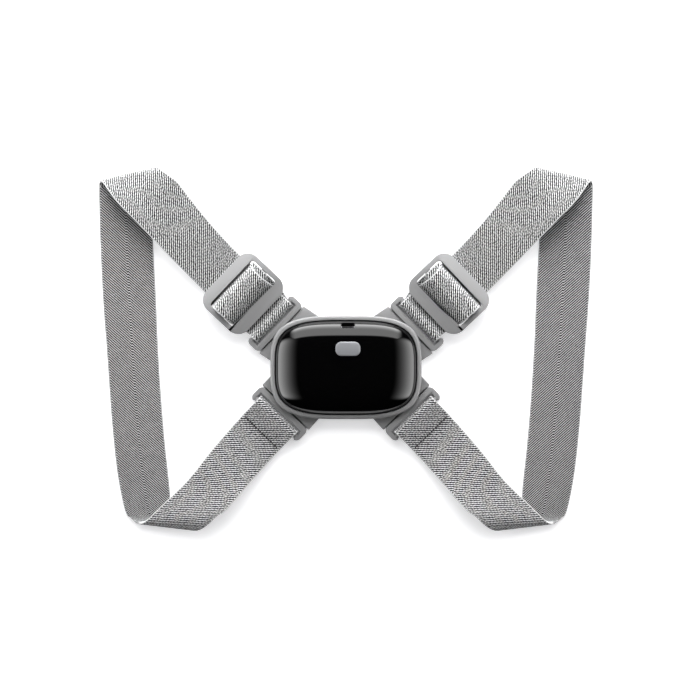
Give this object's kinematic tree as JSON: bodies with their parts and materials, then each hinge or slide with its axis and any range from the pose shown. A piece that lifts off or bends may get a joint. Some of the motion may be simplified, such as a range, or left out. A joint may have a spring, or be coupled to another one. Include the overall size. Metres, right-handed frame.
{
  "type": "posture corrector",
  "caption": "Posture corrector lying flat: glossy sensor pod with a push button in a grey frame with slotted arms, and an elastic shoulder loop with a slide adjuster on each side.",
  "frame": {"origin": "centre of the frame's flat back, on the surface that the part lies on and that rests on the wearer's back", "axes": "+X to the wearer's right seen from behind, +Y towards the wearer's head, +Z out of the back through the pod"},
  "size_m": [0.3036, 0.2232, 0.0179],
  "materials": {
    "frame": "satin grey moulded rubber",
    "pod": "polished black",
    "button": "satin grey",
    "socket": "plain steel",
    "slider": "satin grey",
    "strap": "grey twill elastic"
  },
  "bodies": {
    "corrector": {"frame": "frame", "pod_shell": "pod", "charging_socket": "socket", "slider_left": "slider", "slider_right": "slider", "strap_left": "strap", "strap_right": "strap"},
    "button": {"button": "button"}
  },
  "joints": [
    {"name": "button_press", "type": "slide", "parent": "corrector", "child": "button", "axis": [0, 0, -1], "range_m": [0, 0.0008], "stiffness_N_per_m": 1000}
  ]
}
